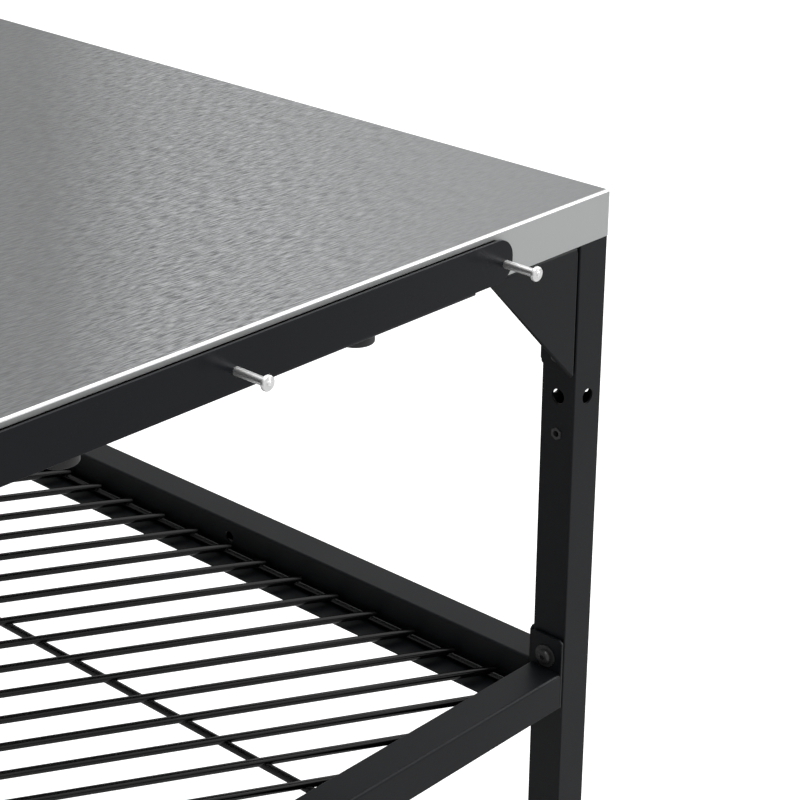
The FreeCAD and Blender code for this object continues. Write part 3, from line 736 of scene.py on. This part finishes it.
def end_plate(name, x, y):
    """Upright plate at a rail's end, with its upper corners cut off."""
    start = (x, y - leg_half, rail_low.z)
    end = (x + END_PLATE, y + leg_half, rail_high.z)
    plate = box_piece(name, start, end)
    bpy.ops.object.mode_set(mode="EDIT")
    pick(plate, "EDGE", lambda edge: near(middle(edge).z, rail_high.z) and not near(middle(edge).y, y))
    bpy.ops.mesh.bevel(offset=PLATE_CHAMFER, segments=1, affect="EDGES")
    bpy.ops.object.mode_set(mode="OBJECT")
    return plate


def joined(first, *others):
    """Welds pieces into the first one."""
    bpy.ops.object.select_all(action="DESELECT")
    for piece in (first, *others):
        piece.select_set(True)
    bpy.context.view_layer.objects.active = first
    bpy.ops.object.join()
    return first


def whole_rail(name, end, axis, ledge_half, holes):
    """Rail with its end plates, which reach to x = end, along the legs' axis at y = axis."""
    half = end - END_PLATE
    outer_y = axis + RAIL_WIDTH / 2
    rail = shelf_rail(name, half, outer_y, ledge_half)
    web = outer_y - RAIL_WIDTH
    mid_z = (rail_low.z + RAIL_TOP) / 2
    for x in holes:
        drill(rail, WEB_HOLE, (x, web - DRILL_REACH, mid_z), (x, web + DRILL_REACH, mid_z))
    finish_edges(rail, EDGE_BREAK)
    left = end_plate(name + "_left", -end, axis)
    right = end_plate(name + "_right", half, axis)
    for plate in (left, right):
        finish_edges(plate, EDGE_BREAK)
    rail = joined(rail, left, right)
    rail.data.materials.append(frame_coat)
    return rail


quarter = Matrix.Rotation(math.radians(-90), 4, "Z")
lengthwise = whole_rail("shelf_rail_rear", rail_high.x, leg_axis.y, short_ledge, ())
crosswise = whole_rail("shelf_rail_right", side_high.y, leg_axis.x, long_ledge, (-WEB_HOLES, WEB_HOLES))
crosswise.data.transform(quarter)
rails = {"rear": lengthwise, "right": crosswise,
         "front": copy_piece(lengthwise, "shelf_rail_front", Matrix.Diagonal((1, -1, 1, 1))),
         "left": copy_piece(crosswise, "shelf_rail_left", Matrix.Diagonal((-1, 1, 1, 1)))}
for side, piece in rails.items():
    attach(piece, "table")
    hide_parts(side + "_shelf_rail")


# Wire rack. Round wires laid at a slant and spot-welded on four cross wires, coated black
# as one piece, which lies loose on the ledges and lifts out.
WIRE = 0.0026             # radius, 0.6 mm more than in the solids
WIRE_EDGE = 0.0004
WIRE_PITCH = 0.0304
WIRE_SLANT = 30.0
FIRST_WIRE_INSET = 0.0259
CROSS_WIRE_INSET = 0.0045
CROSS_WIRE_INNER = 0.0968  # from the middle
BEAD = WIRE * 1.1         # radius of the bead at a weld
BEAD_DEPTH = WIRE * 0.9
BEAD_ROUND = WIRE * 0.35
rack_low, rack_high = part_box("wire_rack")
cross_z = rack_low.z + WIRE
main_z = rack_high.z - WIRE
rack_coat = coated("black_rack_coat", (0.0008, 0.0008, 0.0009), (0.0016, 0.0016, 0.0018),
                   roughness=(0.16, 0.22), grain=(1200, 0.00002), specular=0.42)


def wire(name, start, end):
    """A wire between two points, with its cut ends slightly rounded by the coating."""
    bar = cylinder(name, WIRE, start, end, 20)
    finish_edges(bar, WIRE_EDGE)
    return bar


# The flattened bead where two wires are welded together.
bead = cylinder("weld_bead", BEAD, (0, 0, -BEAD_DEPTH / 2), (0, 0, BEAD_DEPTH / 2), 8)
bpy.ops.object.mode_set(mode="EDIT")
pick(bead, "EDGE", lambda edge: near(edge.verts[0].co.z, edge.verts[1].co.z))
bpy.ops.mesh.bevel(offset=BEAD_ROUND, segments=2, affect="EDGES")
bpy.ops.object.mode_set(mode="OBJECT")
bpy.ops.object.shade_smooth()

slope = math.tan(math.radians(WIRE_SLANT))
half_x = rack_high.x - WIRE * math.sin(math.radians(WIRE_SLANT))
half_y = rack_high.y - WIRE * math.cos(math.radians(WIRE_SLANT))
cross_half = rack_high.y - CROSS_WIRE_INSET
cross_edge = rack_high.x - CROSS_WIRE_INSET
cross_places = (-cross_edge, -CROSS_WIRE_INNER, CROSS_WIRE_INNER, cross_edge)
cross_wires = [wire("cross_wire", (x, -cross_half, cross_z), (x, cross_half, cross_z))
               for x in cross_places]
main_wires, beads = [], []
step = WIRE_PITCH / math.cos(math.radians(WIRE_SLANT))
most = math.ceil((rack_high.x + rack_high.y) * 2 / step)
for i in range(-most, most):
    # Each wire is placed by where its line meets the rack's right edge, and left out where
    # it would only cut a corner.
    offset = FIRST_WIRE_INSET - rack_high.y + i * step
    left = max(-half_x, rack_high.x - (half_y - offset) / slope)
    right = min(half_x, rack_high.x - (-half_y - offset) / slope)
    if right - left < WIRE_PITCH / 2:
        continue
    ends = [(x, offset + (rack_high.x - x) * slope, main_z) for x in (left, right)]
    main_wires.append(wire("main_wire", *ends))
    for x in cross_places:
        if left < x < right:
            spot = (x, offset + (rack_high.x - x) * slope, (main_z + cross_z) / 2)
            beads.append(copy_piece(bead, "placed_bead", Matrix.Translation(spot)))
bpy.data.objects.remove(bead)
rack = joined(*cross_wires, *main_wires, *beads)
rack.name = rack.data.name = "wire_shelf"
rack.data.materials.append(rack_coat)
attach(rack, "shelf_rack")
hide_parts("wire_rack")


# Hook rail. Folded steel in front of the apron, with large round corners, coated in a
# smoother and glossier black than the legs, in which the pegs are mirrored.
HOOK_SHEET = 0.0017
HOOK_BEND = 0.0007
HOOK_CORNER = 0.0115
HOOK_FLANGE_HALF = 0.1786
HOOK_END_LIFT = 0.0015
HOOK_EDGE = 0.0003
STUD_HOLE = 0.0028        # radius
hook_low, hook_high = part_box("hook_rail")
hook_coat = coated("smooth_hook_rail_coat", (0.0016, 0.0026, 0.0048), (0.0028, 0.0038, 0.0062),
                   roughness=(0.22, 0.30), grain=(1050, 0.00003), specular=0.21)
hook = box_piece("hook_rail_plate", hook_low, hook_high)
end_z = hook_low.z + HOOK_END_LIFT
bpy.ops.object.mode_set(mode="EDIT")
pick(hook, "FACE", lambda face: face.normal.y > -0.9)
bpy.ops.mesh.delete(type="FACE")
for point, normal in (((-HOOK_FLANGE_HALF, 0, 0), (1, 0, 0)), ((HOOK_FLANGE_HALF, 0, 0), (1, 0, 0)),
                      ((0, 0, end_z), (0, 0, 1))):
    bpy.ops.mesh.select_all(action="SELECT")
    bpy.ops.mesh.bisect(plane_co=point, plane_no=normal)
pick(hook, "FACE", lambda face: abs(middle(face).x) > HOOK_FLANGE_HALF and middle(face).z < end_z)
bpy.ops.mesh.delete(type="FACE")
pick(hook, "VERT", lambda corner: near(abs(corner.co.x), hook_high.x))
bpy.ops.mesh.bevel(offset=HOOK_CORNER, segments=10, affect="VERTICES")
pick(hook, "EDGE", lambda edge: level(edge, hook_low.z))
bpy.ops.mesh.extrude_region_move(TRANSFORM_OT_translate={"value": (0, hook_high.y - hook_low.y, 0)})
pick(hook, "EDGE", is_fold)
bpy.ops.mesh.bevel(offset=HOOK_BEND, segments=5, affect="EDGES")
bpy.ops.mesh.select_all(action="SELECT")
bpy.ops.mesh.normals_make_consistent(inside=False)
bpy.ops.object.mode_set(mode="OBJECT")
upright = [face for face in hook.data.polygons if abs(face.normal.y) > 0.9]
widest = max(upright, key=lambda face: face.area)
thicken(hook, HOOK_SHEET, inward=widest.normal.y < 0)
knob_boxes = {side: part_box("clamp_knob_" + side) for side in ("left", "right")}
for low, high in knob_boxes.values():
    spot = (low + high) / 2
    drill(hook, STUD_HOLE, (spot.x, spot.y, hook_low.z - DRILL_REACH),
          (spot.x, spot.y, hook_low.z + DRILL_REACH))
finish_edges(hook, HOOK_EDGE, 3)
hook.data.materials.append(hook_coat)
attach(hook, "table")
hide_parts("hook_rail")


# Painted shadow in the gap. A dead black strip on the back of the hook rail, against the
# steel apron, stands in for the deep shade in the gap between them. Only its upper edge
# shows, as a dark line in the gap.
STRIP_DROP = 0.0002       # of its upper edge below the rail's
STRIP_HEIGHT = 0.012
STRIP_ROUND = 0.0003
strip_top = hook_high.z - STRIP_DROP
strip = box_piece("painted_gap_shadow",
                  (hook_low.x + HOOK_CORNER, hook_low.y + HOOK_SHEET, strip_top - STRIP_HEIGHT),
                  (hook_high.x - HOOK_CORNER, top_low.y, strip_top))
bpy.ops.object.mode_set(mode="EDIT")
pick(strip, "EDGE", lambda edge: level(edge, strip_top))
bpy.ops.mesh.bevel(offset=STRIP_ROUND, segments=3, affect="EDGES")
bpy.ops.object.mode_set(mode="OBJECT")
finish_edges(strip, 0)
# Dead black and matte, to paint the shade in the gap.
gap_shadow_black = coated("black_gap_shadow", (0.001, 0.001, 0.001), (0.002, 0.002, 0.002),
              roughness=(0.85, 0.95), grain=(2200, 0.0002), specular=0.0)
strip.data.materials.append(gap_shadow_black)
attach(strip, "table")


# Pegs. Turned from bright steel and screwed on from behind the hook rail. The head has a
# rounded rim and a flat face with a raised middle. The turning marks run round the shank.
PEG = 0.00235             # radius of the shank
PEG_HEAD = 0.0042         # radius
PEG_HEAD_DEPTH = 0.002
PEG_RIM = 0.0008
PEG_EDGE = 0.00016
PEG_BOSS = 0.0006         # height of the raised middle
PEG_STEPS = ((0.0016, 0.0), (0.0003, PEG_BOSS * 0.7), (0.0005, PEG_BOSS * 0.3))  # width and rise
PEG_DROP = 0.0009         # below the middle of the three pegs' box
PEG_INSET = 0.0047        # of the outer pegs, from the ends of that box
TURNING = (450, 3700, 450)  # marks to a metre, across, along and up
peg_low, peg_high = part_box("hook_pegs")
peg_length = peg_high.y - peg_low.y - PEG_BOSS
turned_steel, tree, shader = new_material("turned_bright_steel")
rubs = place_group(tree, streaks, -900, 0, Stretch=TURNING, Patches=90.0)
gloss = colour_ramp(tree, -600, -100, (0.3, 0.31), (0.8, 0.36))
tint = colour_ramp(tree, -600, 200, (0.2, 0.97), (0.8, 1.0))
along = add_node(tree, "ShaderNodeCombineXYZ", -300, -300)
for axis, part in (("X", 0.05), ("Y", 1.0), ("Z", 0.1)):
    along.inputs[axis].default_value = part
tree.links.new(rubs.outputs["Patch"], tint.inputs["Fac"])
tree.links.new(rubs.outputs["Streak"], gloss.inputs["Fac"])
tree.links.new(tint.outputs["Color"], shader.inputs["Base Color"])
tree.links.new(gloss.outputs["Color"], shader.inputs["Roughness"])
tree.links.new(along.outputs["Vector"], shader.inputs["Tangent"])
shader.inputs["Metallic"].default_value = 1.0
shader.inputs["Anisotropic"].default_value = 0.95
peg = cylinder("peg", PEG_HEAD, (0, 0, peg_length - PEG_HEAD_DEPTH), (0, 0, peg_length), 64)
bpy.ops.object.mode_set(mode="EDIT")
pick(peg, "FACE", lambda face: face.normal.z < -0.9)
bpy.ops.mesh.inset(thickness=PEG_HEAD - PEG)
bpy.ops.mesh.extrude_region_move(TRANSFORM_OT_translate={"value": (0, 0, PEG_HEAD_DEPTH - peg_length)})
pick(peg, "EDGE", lambda edge: level(edge, peg_length))
bpy.ops.mesh.bevel(offset=PEG_RIM, segments=4, affect="EDGES")
pick(peg, "FACE", lambda face: face.normal.z > 0.9 and len(face.verts) > 8)
for width, rise in PEG_STEPS:
    bpy.ops.mesh.inset(thickness=width, depth=rise)
bpy.ops.object.mode_set(mode="OBJECT")
finish_edges(peg, PEG_EDGE)
peg.data.materials.append(turned_steel)
peg_z = (peg_low.z + peg_high.z) / 2 - PEG_DROP
peg_x = peg_high.x - PEG_INSET
for name, x in (("left", -peg_x), ("middle", 0), ("right", peg_x)):
    move = Matrix.Translation((x, peg_high.y, peg_z)) @ Matrix.Rotation(math.radians(90), 4, "X")
    piece = copy_piece(peg, "peg_" + name, move)
    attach(piece, "table")
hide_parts("hook_pegs")
bpy.data.objects.remove(peg)


# Clamp screws. A moulded round knob on a threaded stud pulls the hook rail up under the
# front frame tube. There are two.
KNOB_EDGE = 0.0008
KNOB_RIM = 0.002          # of the underside, round its hollow
KNOB_SLOPE = 0.0006
KNOB_HOLLOW = 0.0004
knob_plastic = coated("black_knob_plastic", (0.012, 0.0125, 0.012), (0.018, 0.0185, 0.018),
                      roughness=(0.38, 0.5), grain=(1800, 0.00008), specular=0.5)
stud_steel = coated("zinc_stud", (0.30, 0.30, 0.31), (0.42, 0.42, 0.43),
                    roughness=(0.3, 0.4), grain=(1500, 0.00005), specular=0.5)
stud_steel.node_tree.nodes["Principled BSDF"].inputs["Metallic"].default_value = 1.0
for side, (low, high) in knob_boxes.items():
    spot = (low + high) / 2
    radius = (high.x - low.x) / 2
    knob = cylinder("knob_" + side, radius, (spot.x, spot.y, low.z), (spot.x, spot.y, high.z), 96)
    bpy.ops.object.mode_set(mode="EDIT")
    pick(knob, "FACE", lambda face: face.normal.z < -0.9)
    bpy.ops.mesh.inset(thickness=KNOB_RIM)
    bpy.ops.mesh.inset(thickness=KNOB_SLOPE, depth=-KNOB_HOLLOW)
    bpy.ops.object.mode_set(mode="OBJECT")
    finish_edges(knob, KNOB_EDGE, 4)
    knob.data.materials.append(knob_plastic)
    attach(knob, "clamp_knob_" + side)
    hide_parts("clamp_knob_" + side)
    dress("clamp_stud_" + side, stud_steel)
